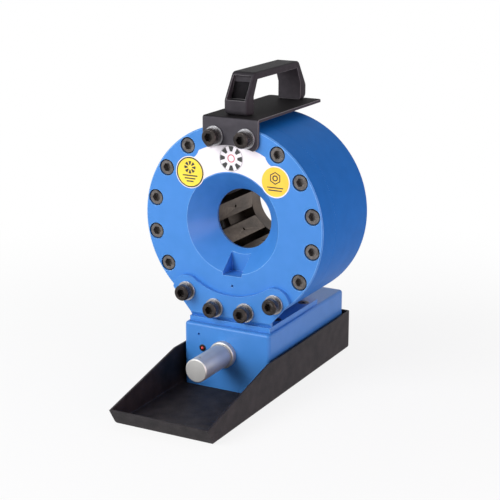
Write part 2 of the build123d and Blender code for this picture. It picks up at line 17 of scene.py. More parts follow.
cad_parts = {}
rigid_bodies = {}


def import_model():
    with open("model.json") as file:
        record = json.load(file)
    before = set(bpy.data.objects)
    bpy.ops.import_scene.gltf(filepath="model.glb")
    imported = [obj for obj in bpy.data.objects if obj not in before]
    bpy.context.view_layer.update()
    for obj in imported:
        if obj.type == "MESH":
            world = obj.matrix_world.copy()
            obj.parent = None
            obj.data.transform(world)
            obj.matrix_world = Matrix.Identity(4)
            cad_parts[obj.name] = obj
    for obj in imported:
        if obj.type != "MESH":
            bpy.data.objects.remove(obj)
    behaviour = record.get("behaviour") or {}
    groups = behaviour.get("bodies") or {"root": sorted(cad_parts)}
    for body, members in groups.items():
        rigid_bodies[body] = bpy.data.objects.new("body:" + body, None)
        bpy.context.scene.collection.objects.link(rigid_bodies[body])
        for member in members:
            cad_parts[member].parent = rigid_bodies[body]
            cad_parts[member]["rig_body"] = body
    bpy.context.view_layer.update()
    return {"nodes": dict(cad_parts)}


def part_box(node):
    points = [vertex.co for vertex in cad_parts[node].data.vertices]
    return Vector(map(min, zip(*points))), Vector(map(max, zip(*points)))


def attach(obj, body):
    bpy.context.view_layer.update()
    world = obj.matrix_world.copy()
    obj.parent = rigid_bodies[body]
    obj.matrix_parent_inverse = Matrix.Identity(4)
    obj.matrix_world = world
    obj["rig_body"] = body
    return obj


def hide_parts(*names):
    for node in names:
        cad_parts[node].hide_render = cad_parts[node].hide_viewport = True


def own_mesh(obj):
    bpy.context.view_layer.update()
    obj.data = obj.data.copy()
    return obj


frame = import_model()
nodes = frame["nodes"]
MM = 0.001
print("nodes in the pack", len(nodes))

# %% [markdown]
# The head is the part everything else is measured from. Its cover's box gives the axis height and
# the front face, so later cells can place labels and knurls without a table of numbers. A table
# could be copied from the CAD's source, but it would go stale with the next change there.

# %% Sizes read from the frame
SCREW_PITCH_SHARE = 0.9
cover_low, cover_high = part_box("front_cover")
AXIS = Vector(((cover_low.x + cover_high.x) / 2, 0.0, (cover_low.z + cover_high.z) / 2))
HEAD_R = (cover_high.z - cover_low.z) / 2
FRONT = cover_low.y
PITCH_R = SCREW_PITCH_SHARE * HEAD_R
print("head radius", round(HEAD_R, 4), "axis height", round(AXIS.z, 4))


# %% [markdown]
# No real finish is one flat value. Several finishes share the same small effects, so each effect is
# one node group with named inputs. `fine_grain` is a soft three-dimensional noise that breaks up
# colour, roughness and height. A picture would have to be unwrapped onto every piece. The noise reads
# Object coordinates instead, so it stays fixed to the piece when the piece moves.

# %% Shader group: fine grain
def new_group(name, inputs, outputs):
    """An empty shader node group with named float inputs and outputs."""
    group = bpy.data.node_groups.new(name, "ShaderNodeTree")
    for label, default in inputs:
        socket = group.interface.new_socket(label, in_out="INPUT", socket_type="NodeSocketFloat")
        socket.default_value = default
    for label in outputs:
        group.interface.new_socket(label, in_out="OUTPUT", socket_type="NodeSocketFloat")
    return group, group.nodes.new("NodeGroupInput"), group.nodes.new("NodeGroupOutput")


def make_fine_grain():
    group, into, out = new_group("fine_grain", [("Scale", 400.0), ("Detail", 3.0)], ["Grain"])
    place = group.nodes.new("ShaderNodeTexCoord")
    noise = group.nodes.new("ShaderNodeTexNoise")
    group.links.new(place.outputs["Object"], noise.inputs["Vector"])
    group.links.new(into.outputs["Scale"], noise.inputs["Scale"])
    group.links.new(into.outputs["Detail"], noise.inputs["Detail"])
    group.links.new(noise.outputs["Fac"], out.inputs["Grain"])
    return group


FINE_GRAIN = make_fine_grain()
print("group", FINE_GRAIN.name)

# %% [markdown]
# A lathe leaves fine rings on every face that it turns. Cutting them into the mesh would cost
# millions of faces. Here the distance from the axis, plus the place along it, drives a
# one-dimensional noise, so the rings close on themselves on end faces and round sides alike.

# %% Shader group: turned lines
def make_turned_lines():
    """Fine rings round a Y axis, as a lathe tool leaves them."""
    inputs = [("Centre X", 0.0), ("Centre Z", 0.0), ("Rings per metre", 1500.0)]
    group, into, out = new_group("turned_lines", inputs, ["Rings"])
    place = group.nodes.new("ShaderNodeTexCoord")
    centre = group.nodes.new("ShaderNodeCombineXYZ")
    offset = group.nodes.new("ShaderNodeVectorMath")
    offset.operation = "SUBTRACT"
    flat = group.nodes.new("ShaderNodeSeparateXYZ")
    across = group.nodes.new("ShaderNodeCombineXYZ")
    length = group.nodes.new("ShaderNodeVectorMath")
    length.operation = "LENGTH"
    along = group.nodes.new("ShaderNodeMath")
    along.operation = "ADD"
    scaled = group.nodes.new("ShaderNodeMath")
    scaled.operation = "MULTIPLY"
    noise = group.nodes.new("ShaderNodeTexNoise")
    noise.noise_dimensions = "1D"
    noise.inputs["Scale"].default_value = 1.0
    noise.inputs["Detail"].default_value = 2.0
    link = group.links.new
    link(into.outputs["Centre X"], centre.inputs["X"])
    link(into.outputs["Centre Z"], centre.inputs["Z"])
    link(place.outputs["Object"], offset.inputs[0])
    link(centre.outputs["Vector"], offset.inputs[1])
    link(offset.outputs["Vector"], flat.inputs["Vector"])
    link(flat.outputs["X"], across.inputs["X"])
    link(flat.outputs["Z"], across.inputs["Z"])
    link(across.outputs["Vector"], length.inputs[0])
    link(length.outputs["Value"], along.inputs[0])
    link(flat.outputs["Y"], along.inputs[1])
    link(along.outputs["Value"], scaled.inputs[0])
    link(into.outputs["Rings per metre"], scaled.inputs[1])
    link(scaled.outputs["Value"], noise.inputs["W"])
    link(noise.outputs["Fac"], out.inputs["Rings"])
    return group


TURNED_LINES = make_turned_lines()
print("group", TURNED_LINES.name)

# %% [markdown]
# Handling rubs a finish off its sharp edges. Pointiness is high where a mesh bends outwards, and this
# mask takes the sharpest part of it, broken up by noise. It follows the shape by itself, where a
# painted mask would be redone after every change. It is worked out at the mesh's corners, so it
# suits small metal pieces. Large flat faces would show it as pale triangles.

# %% Shader group: worn edges
WEAR_START = 0.53
WEAR_FULL = 0.6
WEAR_NOISE = 260.0


def make_worn_edge():
    """A mask that is 1 on sharp outer edges and 0 on flats, broken up by noise."""
    group, into, out = new_group("worn_edge", [("Amount", 0.5)], ["Wear"])
    shape = group.nodes.new("ShaderNodeNewGeometry")
    place = group.nodes.new("ShaderNodeTexCoord")
    noise = group.nodes.new("ShaderNodeTexNoise")
    noise.inputs["Scale"].default_value = WEAR_NOISE
    edge = group.nodes.new("ShaderNodeMapRange")
    edge.inputs["From Min"].default_value = WEAR_START
    edge.inputs["From Max"].default_value = WEAR_FULL
    broken = group.nodes.new("ShaderNodeMath")
    broken.operation = "MULTIPLY"
    share = group.nodes.new("ShaderNodeMath")
    share.operation = "MULTIPLY"
    link = group.links.new
    link(shape.outputs["Pointiness"], edge.inputs["Value"])
    link(place.outputs["Object"], noise.inputs["Vector"])
    link(edge.outputs["Result"], broken.inputs[0])
    link(noise.outputs["Fac"], broken.inputs[1])
    link(broken.outputs["Value"], share.inputs[0])
    link(into.outputs["Amount"], share.inputs[1])
    link(share.outputs["Value"], out.inputs["Wear"])
    return group


WORN_EDGE = make_worn_edge()
print("group", WORN_EDGE.name)

# %% [markdown]
# The level tops of the handle and its bracket are painted darker than their upright faces: painted
# shade, as little light falls on them from above. A second material on those faces would leave a hard
# border. A mask on the surface's own direction fades over the rounded edges instead. It reads the true
# normal, which the grain's bump doesn't disturb.

# %% Shader group: painted shade on level tops
def make_painted_top_shade():
    """A mask that is 1 on level upper faces, where the coating is painted darker as shade."""
    group, into, out = new_group("painted_top_shade", [("Start", 0.55), ("Full", 0.95)], ["Mask"])
    shape = group.nodes.new("ShaderNodeNewGeometry")
    axes = group.nodes.new("ShaderNodeSeparateXYZ")
    mask = group.nodes.new("ShaderNodeMapRange")
    link = group.links.new
    link(shape.outputs["True Normal"], axes.inputs["Vector"])
    link(axes.outputs["Z"], mask.inputs["Value"])
    link(into.outputs["Start"], mask.inputs["From Min"])
    link(into.outputs["Full"], mask.inputs["From Max"])
    link(mask.outputs["Result"], out.inputs["Mask"])
    return group


TOP_SHADE_GROUP = make_painted_top_shade()
print("group", TOP_SHADE_GROUP.name)

# %% [markdown]
# Every finish here follows one plan: a base colour that shifts a little with the grain, an edge
# colour where handling has rubbed it, a roughness that varies, and a very low bump. Each material
# could be wired by hand, but a single builder keeps the plan in one place, and a finish is then one
# line of values. The noise seldom leaves its middle range, so that range is stretched to the full
# one, and the patches of colour are many times larger than the grain.

# %% Builder for the finishes
NOISE_LOW = 0.3
NOISE_HIGH = 0.7
PATCH_SIZE = 14


def place_group(tree, group, **values):
    """Put a node group into a material and set its inputs by name."""
    node = tree.nodes.new("ShaderNodeGroup")
    node.node_tree = group
    for name, value in values.items():
        node.inputs[name.replace("_", " ")].default_value = value
    return node


def spread(tree, source, low, high):
    """Map a 0..1 mask to a range of values."""
    node = tree.nodes.new("ShaderNodeMapRange")
    node.inputs["From Min"].default_value = NOISE_LOW
    node.inputs["From Max"].default_value = NOISE_HIGH
    node.inputs["To Min"].default_value = low
    node.inputs["To Max"].default_value = high
    tree.links.new(source, node.inputs["Value"])
    return node.outputs["Result"]


def mix_colour(tree, mask, first, second):
    """Mix two colours by a mask. Each is a plain colour or the output of a node."""
    node = tree.nodes.new("ShaderNodeMix")
    node.data_type = "RGBA"
    tree.links.new(mask, node.inputs[0])
    for socket, value in ((node.inputs[6], first), (node.inputs[7], second)):
        if isinstance(value, tuple):
            socket.default_value = (*value, 1.0)
        else:
            tree.links.new(value, socket)
    return node.outputs[2]


def finish_of(name, light, dark, rough, metallic=0.0, grain=400.0, bump=0.1, bump_size=0.0002,
              worn=None, wear=0.0, coat=0.0, coat_rough=0.1, lines=None, specular=0.5,
              top_shade_colour=None):
    """A finish with varied colour and roughness, and optional wear, coat, lines and painted shade on
    tops.
    """
    material = bpy.data.materials.new(name)
    material.use_nodes = True
    tree = material.node_tree
    shader = tree.nodes["Principled BSDF"]
    shader.inputs["Metallic"].default_value = metallic
    shader.inputs["Coat Weight"].default_value = coat
    shader.inputs["Coat Roughness"].default_value = coat_rough
    shader.inputs["Specular IOR Level"].default_value = specular
    broad = place_group(tree, FINE_GRAIN, Scale=grain / PATCH_SIZE, Detail=2.0)
    fine = place_group(tree, FINE_GRAIN, Scale=grain, Detail=3.0)
    height = fine.outputs["Grain"]
    if lines is not None:
        ring = place_group(tree, TURNED_LINES, Centre_X=lines[0], Centre_Z=lines[1],
                           Rings_per_metre=lines[2])
        height = ring.outputs["Rings"]
    colour = mix_colour(tree, spread(tree, broad.outputs["Grain"], 0.0, 1.0), dark, light)
    # Painted shade: level tops get the darker top colour.
    if top_shade_colour is not None:
        top = place_group(tree, TOP_SHADE_GROUP)
        colour = mix_colour(tree, top.outputs["Mask"], colour, top_shade_colour)
    if wear > 0:
        edge = place_group(tree, WORN_EDGE, Amount=wear)
        colour = mix_colour(tree, edge.outputs["Wear"], colour, worn)
    tree.links.new(colour, shader.inputs["Base Color"])
    tree.links.new(spread(tree, height, rough[0], rough[1]), shader.inputs["Roughness"])
    relief = tree.nodes.new("ShaderNodeBump")
    relief.inputs["Strength"].default_value = bump
    relief.inputs["Distance"].default_value = bump_size
    tree.links.new(height, relief.inputs["Height"])
    tree.links.new(relief.outputs["Normal"], shader.inputs["Normal"])
    return material


# %% [markdown]
# The cover, the saddle and the housing wear a blue gloss enamel. A thin clear coat gives the sharp
# top reflection, and a little orange peel in the bump keeps it from looking like glass. The cylinder
# has a duller enamel without the coat, and its deeper blue is painted shade for its side faces. One
# material that changes from face to face could do for both, but two keep every value readable.

# %% Enamel finishes
blue_enamel = finish_of("blue_enamel", (0.058, 0.238, 0.64), (0.050, 0.222, 0.60), (0.34, 0.44),
                        grain=900, bump=0.06, coat=0.10, coat_rough=0.2, specular=0.25)
# The cylinder's darker blue is painted shade.
shaded_cylinder_enamel = finish_of("shaded_cylinder_enamel", (0.012, 0.165, 0.55), (0.010, 0.150, 0.51),
                            (0.40, 0.5), grain=900, bump=0.05, specular=0.05)
print("enamels", blue_enamel.name, shaded_cylinder_enamel.name)

# %% [markdown]
# An edge catches a line of light. An edge finish is a lighter version of its paint, a painted
# highlight for that line, and it goes only on the narrow faces that a bevel makes. A worn edge mask
# would spread over the large flat faces beside them.

# %% Edge finishes: painted highlights
# Each edge colour is lighter than its paint: a painted highlight.
blue_edge_highlight = finish_of("blue_edge_highlight", (0.30, 0.58, 0.93), (0.20, 0.48, 0.86), (0.3, 0.4),
                      grain=900, bump=0.05)
tray_edge_highlight = finish_of("tray_edge_highlight", (0.09, 0.075, 0.08), (0.05, 0.044, 0.047), (0.4, 0.5),
                      grain=900, bump=0.05)
coat_edge_highlight = finish_of("coat_edge_highlight", (0.19, 0.18, 0.19), (0.12, 0.115, 0.12), (0.4, 0.5),
                      grain=900, bump=0.05)
print("edges", blue_edge_highlight.name, tray_edge_highlight.name, coat_edge_highlight.name)

# %% [markdown]
# The dies, the front cone ring and the rear sleeve are oiled steel, the screws are black oxide and the
# washers are zinc plated. The piston and the limit rod are left as turned. A metal's look is mostly
# reflection, so these differ in roughness and wear more than in colour, and the turned ones carry the
# lathe's rings.

# %% Metal finishes
die_steel = finish_of("die_steel", (0.125, 0.096, 0.078), (0.055, 0.046, 0.042), (0.36, 0.5),
                      metallic=0.8, grain=420, bump=0.12, worn=(0.34, 0.27, 0.22), wear=0.8,
                      specular=0.3)
turned_steel = finish_of("turned_steel", (0.50, 0.49, 0.48), (0.36, 0.355, 0.35), (0.24, 0.36),
                         metallic=1.0, lines=(AXIS.x, AXIS.z, 1400.0), bump=0.08)
black_oxide = finish_of("black_oxide", (0.060, 0.050, 0.046), (0.024, 0.021, 0.020), (0.2, 0.32),
                        metallic=0.7, grain=1400, bump=0.08, worn=(0.30, 0.28, 0.27), wear=0.8,
                        specular=0.35)
zinc_plate = finish_of("zinc_plate", (0.42, 0.42, 0.44), (0.30, 0.30, 0.32), (0.24, 0.36),
                       metallic=0.9, grain=900, bump=0.05, worn=(0.92, 0.92, 0.94), wear=1.0)
print("metals", die_steel.name, turned_steel.name, black_oxide.name, zinc_plate.name)

# %% [markdown]
# The handle's bracket and the tray are powder coated, a dull finish with a fine pebble. The handle is
# moulded plastic with a closer grain. Real relief that small would need a very fine mesh, so a bump
# stands in for it. The bracket and the handle take a darker colour on their level tops, as painted
# shade.

# %% Powder coat and plastic
# The last colour is painted shade on the level tops.
bracket_coat = finish_of("bracket_coat", (0.072, 0.068, 0.078), (0.058, 0.055, 0.063), (0.62, 0.74),
                         grain=1600, bump=0.22, specular=0.05,
                         top_shade_colour=(0.009, 0.008, 0.009))
tray_coat = finish_of("tray_coat", (0.034, 0.029, 0.031), (0.017, 0.015, 0.017), (0.36, 0.6),
                      grain=1100, bump=0.25, specular=0.1)
# The last colour is painted shade on the level tops.
handle_plastic = finish_of("handle_plastic", (0.046, 0.042, 0.048), (0.036, 0.033, 0.038),
                           (0.5, 0.62), grain=2200, bump=0.2, specular=0.06,
                           top_shade_colour=(0.013, 0.012, 0.014))
print("coatings", bracket_coat.name, tray_coat.name, handle_plastic.name)

# %% [markdown]
# The knob is turned aluminium, so its rings are centred on its own axis and not on the head's. The
# seals are plain rubber. The signal lamp's lens is red plastic under a clear coat, which gives its
# highlight. True glass would show little but the dark bezel behind so small a lens.

# %% Knob, seals and lamp
knob_low, knob_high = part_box("setting_knob")
KNOB_X = (knob_low.x + knob_high.x) / 2
KNOB_Z = (knob_low.z + knob_high.z) / 2
KNOB_R = (knob_high.z - knob_low.z) / 2

knob_aluminium = finish_of("knob_aluminium", (0.66, 0.66, 0.64), (0.50, 0.50, 0.49), (0.36, 0.5),
                           metallic=0.72, lines=(KNOB_X, KNOB_Z, 2200.0), bump=0.1)
seal_rubber = finish_of("seal_rubber", (0.02, 0.02, 0.02), (0.015, 0.015, 0.015), (0.6, 0.75),
                        grain=1200, bump=0.1)
lamp_red = finish_of("lamp_red", (0.90, 0.10, 0.08), (0.8, 0.06, 0.05), (0.08, 0.12),
                     grain=600, bump=0.02, coat=0.6, coat_rough=0.05)
print("knob radius", round(KNOB_R, 4))

# %% [markdown]
# The labels are printed vinyl with a satin surface. A picture on the cover could carry them all, but
# it would blur close up. Each colour is its own thin sheet instead, so an ink needs only its colour
# and a trace of grain.

# %% Label finishes
INK_GRAIN = 700
INK_BUMP = 0.03


def ink(name, light, dark, rough=(0.4, 0.5)):
    return finish_of(name, light, dark, rough, grain=INK_GRAIN, bump=INK_BUMP)


label_white = ink("label_white", (0.82, 0.79, 0.83), (0.79, 0.76, 0.80), (0.4, 0.48))
label_yellow = ink("label_yellow", (0.92, 0.72, 0.06), (0.86, 0.64, 0.04), (0.38, 0.46))
label_amber = ink("label_amber", (0.92, 0.60, 0.05), (0.86, 0.54, 0.04), (0.38, 0.46))
label_black = ink("label_black", (0.03, 0.03, 0.03), (0.022, 0.022, 0.022))
label_grey = ink("label_grey", (0.36, 0.33, 0.34), (0.30, 0.28, 0.29))
label_red = ink("label_red", (0.62, 0.03, 0.06), (0.52, 0.02, 0.04))
print("materials so far", len(bpy.data.materials))


# %% [markdown]
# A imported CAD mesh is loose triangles, which shade flat. Each visible piece is therefore copied, its
# doubles are merged, and the copy is shaded smooth up to 30 degrees. Flat triangles are joined into
# whole faces as well, because a bevel beside a fan of triangles leaves slivers.

# %% Copy and shade a CAD node
SMOOTH_LIMIT = math.radians(30)
FLAT_LIMIT = math.radians(0.3)
MERGE = 2e-6


def mesh_copy(node):
    """A merged copy of a CAD node's mesh, with flat triangles joined into faces."""
    bm = bmesh.new()
    bm.from_mesh(nodes[node].data)
    bmesh.ops.remove_doubles(bm, verts=bm.verts, dist=MERGE)
    bmesh.ops.dissolve_limit(bm, angle_limit=FLAT_LIMIT, verts=bm.verts, edges=bm.edges)
    mesh = bpy.data.meshes.new(node + "_dressed")
    bm.to_mesh(mesh)
    bm.free()
    return mesh


def shade(mesh):
    """Smooth shading that stays sharp where faces meet at more than the limit."""
    for face in mesh.polygons:
        face.use_smooth = True
    mesh.set_sharp_from_angle(angle=SMOOTH_LIMIT)


# %% [markdown]
# A recess can be made by moving the mesh's corners, which depends on their numbering, or by a boolean
# modifier, which cuts with any closed shape. The boolean is used here. Its cutters are only lent to
# the scene: the result is kept as a mesh, and they are removed again.

# %% Cut closed shapes out of a mesh
CUT_FLAT_LIMIT = math.radians(0.5)
CUT_MERGE = 2e-5


def cut_away(mesh, cutters):
    """Subtract closed cutter meshes and return the cleaned result."""
    piece = bpy.data.objects.new("cut_piece", mesh)
    bpy.context.scene.collection.objects.link(piece)
    tools = []
    for cutter in cutters:
        tool = bpy.data.objects.new("cutter", cutter)
        bpy.context.scene.collection.objects.link(tool)
        cut = piece.modifiers.new("cut", "BOOLEAN")
        cut.object = tool
        cut.operation = "DIFFERENCE"
        cut.solver = "EXACT"
        tools.append(tool)
    graph = bpy.context.evaluated_depsgraph_get()
    result = bpy.data.meshes.new_from_object(piece.evaluated_get(graph))
    for thing in (piece, *tools):
        bpy.data.objects.remove(thing)
    bm = bmesh.new()
    bm.from_mesh(result)
    bmesh.ops.remove_doubles(bm, verts=bm.verts, dist=CUT_MERGE)
    bmesh.ops.dissolve_limit(bm, angle_limit=CUT_FLAT_LIMIT, verts=bm.verts, edges=bm.edges)
    bm.to_mesh(result)
    bm.free()
    return result


# %% [markdown]
# A real edge is never quite sharp, and it always catches a line of light. So a narrow bevel rounds the
# edges, and its own faces take the edge finish, a painted highlight, where the paint has one. Weighted
# normals keep the flats beside it flat. The copy then stands for its CAD node: it rides on the node's
# body, replaces the node and fills its material slot.

# %% Dress a CAD node
BEVEL_SEGMENTS = 2
# Lighter edge colours: painted highlights on the bevel faces.
EDGE_HIGHLIGHTS = {blue_enamel: blue_edge_highlight, tray_coat: tray_edge_highlight, bracket_coat: coat_edge_highlight,
                 handle_plastic: coat_edge_highlight}


def dress(node, material, bevel=0.0, cutters=()):
    """Stand a smooth-shaded, softly edged copy in for a CAD node."""
    mesh = mesh_copy(node)
    if cutters:
        mesh = cut_away(mesh, cutters)
    mesh.materials.clear()
    mesh.materials.append(material)
    piece = bpy.data.objects.new(node + "_dressed", mesh)
    bpy.context.scene.collection.objects.link(piece)
    shade(mesh)
    if bevel > 0:
        edge = piece.modifiers.new("soft_edge", "BEVEL")
        edge.width = bevel
        edge.segments = BEVEL_SEGMENTS
        edge.limit_method = "ANGLE"
        edge.angle_limit = SMOOTH_LIMIT
        edge.use_clamp_overlap = True
        if material in EDGE_HIGHLIGHTS:
            mesh.materials.append(EDGE_HIGHLIGHTS[material])
            edge.material = len(mesh.materials) - 1
    flat = piece.modifiers.new("flat_faces", "WEIGHTED_NORMAL")
    flat.keep_sharp = True
    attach(piece, nodes[node]["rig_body"])
    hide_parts(node)
    return piece


# %% [markdown]
# The handle is a moulded bridge with an open recess in each sloping end. The CAD's recess covers about
# six tenths of the rise, and on the real handle it runs up almost to the top. A prism with a sloping
# back cuts the rest, and leaves a wall on either side and a foot below.

# %% Recesses in the handle's ends
RECESS_FOOT = 15 * MM
RECESS_ROOF = 3.5 * MM
RECESS_WALL = 3 * MM
RECESS_PAST_END = 2 * MM
RECESS_DEPTH_LOW = 10 * MM
RECESS_DEPTH_HIGH = 18.2 * MM


def prism(outline, half_width):
    """A closed prism across X from a (y, z) outline, in metres."""
    bm = bmesh.new()
    ends = [[bm.verts.new((x, y, z)) for y, z in outline] for x in (-half_width, half_width)]
    bm.faces.new(ends[0])
    bm.faces.new(ends[1])
    for i in range(len(outline)):
        j = (i + 1) % len(outline)
        bm.faces.new((ends[0][i], ends[0][j], ends[1][j], ends[1][i]))
    bmesh.ops.recalc_face_normals(bm, faces=bm.faces)
    mesh = bpy.data.meshes.new("prism")
    bm.to_mesh(mesh)
    bm.free()
    return mesh


def handle_recesses():
    """One cutter for each end of the handle."""
    low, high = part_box("carry_handle")
    foot = low.z + RECESS_FOOT
    top = high.z - RECESS_ROOF
    half_width = (high.x - low.x) / 2 - RECESS_WALL
    cutters = []
    for end, inward in ((low.y, 1), (high.y, -1)):
        outside = end - inward * RECESS_PAST_END
        outline = [(outside, foot), (end + inward * RECESS_DEPTH_LOW, foot),
                   (end + inward * RECESS_DEPTH_HIGH, top), (outside, top)]
        cutters.append(prism(outline, half_width))
    return cutters


# %% [markdown]
# Every CAD node but the dies and springs gets its finish and its bevel width, in millimetres, from one
# table. A call for each node would do the same, but the table shows the whole machine at a glance. A
# piece that is hidden, very small or already rounded in the CAD has no bevel.

# %% Finishes of the pieces
BODY_FINISHES = {
    "front_cover": (blue_enamel, 0.4),
    "head_cylinder": (shaded_cylinder_enamel, 0.3),
    "saddle_bracket": (blue_enamel, 0.4),
    "base_housing": (blue_enamel, 0.0),
    "rear_sleeve": (die_steel, 0.3),
    "front_cone_ring": (die_steel, 0.2),
    "cone_piston": (turned_steel, 0.2),
    "piston_outer_seal": (seal_rubber, 0.0),
    "piston_inner_seal": (seal_rubber, 0.0),
    "cover_screws": (black_oxide, 0.15),
    "handle_bracket_screws": (black_oxide, 0.15),
    "saddle_screws_front": (black_oxide, 0.15),
    "saddle_screws_foot": (black_oxide, 0.0),
    "tray_screws": (black_oxide, 0.0),
    "handle_screws": (black_oxide, 0.0),
    "handle_bracket_washers": (zinc_plate, 0.25),
    "saddle_washers": (zinc_plate, 0.25),
    "handle_bracket": (bracket_coat, 0.35),
    "carry_handle": (handle_plastic, 0.35),
    "base_tray": (tray_coat, 0.3),
    "knob_collar": (knob_aluminium, 0.2),
    "scale_barrel": (knob_aluminium, 0.0),
    "setting_knob": (knob_aluminium, 0.25),
    "limit_rod": (turned_steel, 0.2),
    "limit_switch": (handle_plastic, 0.3),
    "lamp_bezel": (black_oxide, 0.0),
    "lamp_lens": (lamp_red, 0.0),
    "hydraulic_coupler": (zinc_plate, 0.2),
}
for node, (material, bevel) in BODY_FINISHES.items():
    cutters = handle_recesses() if node == "carry_handle" else ()
    dress(node, material, bevel * MM, cutters)
print("dressed", len(BODY_FINISHES), "nodes")


# %% [markdown]
# The cover's outer rim carries on the cylinder's side, so it wears the cylinder's enamel, whose darker
# blue is painted shade, while its face keeps the gloss blue. The cover could be split in two for that.
# It is simpler to give the rim's own faces a second material, and to find them by their distance from
# the axis.

# %% Rim of the cover
RIM_REACH = 0.97
RIM_TILT = 0.5


def paint_rim(piece, material):
    """Give the cover's outer rim the cylinder's enamel, painted darker as shade."""
    piece.data.materials.append(material)
    for face in piece.data.polygons:
        reach = math.hypot(face.center.x - AXIS.x, face.center.z - AXIS.z)
        if abs(face.normal.y) < RIM_TILT and reach > RIM_REACH * HEAD_R:
            face.material_index = len(piece.data.materials) - 1


# The rim's side faces take the painted shade of the cylinder's enamel.
paint_rim(bpy.data.objects["front_cover_dressed"], shaded_cylinder_enamel)

# %% [markdown]
# The eight master dies are the heart of the machine. Each is one hardened block whose sloped ends
# slide on the cones, with a pin hole for the die insert. They are alike and could be instances of
# one mesh, but each stands for a CAD node on a joint of its own, so each is dressed by itself.

# %% Master dies
DIE_BEVEL = 0.4 * MM
DIES = sorted(n for n in nodes if n.startswith("master_die_"))
for node in DIES:
    dress(node, die_steel, DIE_BEVEL)
print("dressed", len(DIES), "dies")


# %% [markdown]
# The labels lie on the cover's front face. Each is built in the plane of that face from an inner and
# an outer outline with the same number of points, which makes rings, bars and wedges alike. Text or
# curve objects would fill any outline, but these strips give clean, closed sheets. A small lift puts
# every printed layer just in front of the one below, so no two faces share a plane.

# %% Build flat printed figures
LAYER = 0.12 * MM
SHEET_DEPTH = 0.9
PRINT_MERGE = 1e-7
DISC_HOLE = 0.02
RING_STEPS = 72


def face_point(x, z, layer):
    """A point on the cover's front face, lifted by a number of layers."""
    return Vector((AXIS.x + x * MM, FRONT - layer * LAYER, AXIS.z + z * MM))


def printed(name, strips, layer, material):
    """Thin closed sheets. A strip is (inner outline, outer outline, closed or not)."""
    bm = bmesh.new()
    for inner, outer, closed in strips:
        rows = []
        for level in (layer, layer - SHEET_DEPTH):
            for outline in (inner, outer):
                rows.append([bm.verts.new(face_point(x, z, level)) for x, z in outline])
        count = len(inner)
        for i in range(count if closed else count - 1):
            j = (i + 1) % count
            fi, fo, bi, bo = rows
            bm.faces.new((fi[i], fi[j], fo[j], fo[i]))
            bm.faces.new((bi[i], bo[i], bo[j], bi[j]))
            bm.faces.new((fo[i], fo[j], bo[j], bo[i]))
            bm.faces.new((fi[j], fi[i], bi[i], bi[j]))
        if not closed:
            for i in (0, count - 1):
                bm.faces.new((rows[0][i], rows[1][i], rows[3][i], rows[2][i]))
    bmesh.ops.remove_doubles(bm, verts=bm.verts, dist=PRINT_MERGE)
    bmesh.ops.dissolve_degenerate(bm, dist=PRINT_MERGE, edges=bm.edges)
    bmesh.ops.recalc_face_normals(bm, faces=bm.faces)
    mesh = bpy.data.meshes.new(name)
    bm.to_mesh(mesh)
    bm.free()
    mesh.materials.append(material)
    piece = bpy.data.objects.new(name, mesh)
    bpy.context.scene.collection.objects.link(piece)
    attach(piece, "frame")
    return piece


def arc(radius, start, end, steps, centre=(0.0, 0.0)):
    """Points on an arc, in degrees clockwise from the top."""
    points = []
    for i in range(steps + 1):
        angle = math.radians(start + (end - start) * i / steps)
        points.append((centre[0] + radius * math.sin(angle), centre[1] + radius * math.cos(angle)))
    return points


def ring(inner, outer, centre, steps=RING_STEPS):
    """A full ring. Few steps make a polygon, and an inner radius near 0 makes a disc."""
    return (arc(inner, 0, 360, steps, centre)[:-1], arc(outer, 0, 360, steps, centre)[:-1], True)


def bar(x, z, width, height):
    """A filled rectangle about a middle point."""
    left = [(x - width / 2, z - height / 2), (x - width / 2, z + height / 2)]
    right = [(x + width / 2, z - height / 2), (x + width / 2, z + height / 2)]
    return (left, right, False)


def disc(radius, centre):
    return ring(DISC_HOLE, radius, centre)


print("layer", LAYER, "m")


# %% [markdown]
# The large white label fills the band between the funnel and the screws. Its outer edge is an arc
# that steps back round the two screws beside the bracket. A boolean with two discs would cut the same
# shape, but here the outline is worked out, point by point, as the nearer of that arc and a circle
# round the screw, which keeps the sheet a plain strip.

# %% White band label
BAND_IN = 52.9
BAND_OUT = 80.5
BAND_HALF = 47.0
BAND_END_DROP = 5.0
BAND_STEPS = 188
SCREW_ANGLE = 33.75
KEEP_CLEAR = 13.2


def band_outer(angle):
    """Radius of the band's outer edge at an angle from the top."""
    off = math.radians(abs(angle) - SCREW_ANGLE)
    pitch = PITCH_R / MM
    across = pitch * math.sin(off)
    if abs(across) >= KEEP_CLEAR:
        return BAND_OUT if abs(angle) < SCREW_ANGLE else BAND_OUT - BAND_END_DROP
    near = pitch * math.cos(off) - math.sqrt(KEEP_CLEAR ** 2 - across ** 2)
    return min(BAND_OUT, near)


def band_label():
    inner = []
    outer = []
    for i in range(BAND_STEPS + 1):
        angle = BAND_HALF * (2 * i / BAND_STEPS - 1)
        turn = math.radians(angle)
        radius = band_outer(angle)
        inner.append((BAND_IN * math.sin(turn), BAND_IN * math.cos(turn)))
        outer.append((radius * math.sin(turn), radius * math.cos(turn)))
    return printed("band_label", [(inner, outer, False)], 1, label_white)


band_label()
print("band from", BAND_IN, "to", BAND_OUT, "mm")

# %% [markdown]
# Three round labels sit on the band. The middle one shows a ring of eight die segments, which is what
# the machine holds, round a small red bore. The left one repeats a small die ring over plain bars, and
# the right one has a hexagon nut over bars. All are drawn from rings, wedges and bars, so that no
# letters and no picture are needed.

# %% Round labels and their plain marks
LEFT_DISC = (-47.4, 48.0)
RIGHT_DISC = (48.3, 48.0)
MIDDLE_DISC = (-0.4, 66.6)
LEFT_R = 16.4
RIGHT_R = 15.9
MIDDLE_R = 13.3
DIE_COUNT = 8
DIE_STEP = 360 / DIE_COUNT
WEDGE_TAPER = 0.7
WEDGE_STEPS = 4


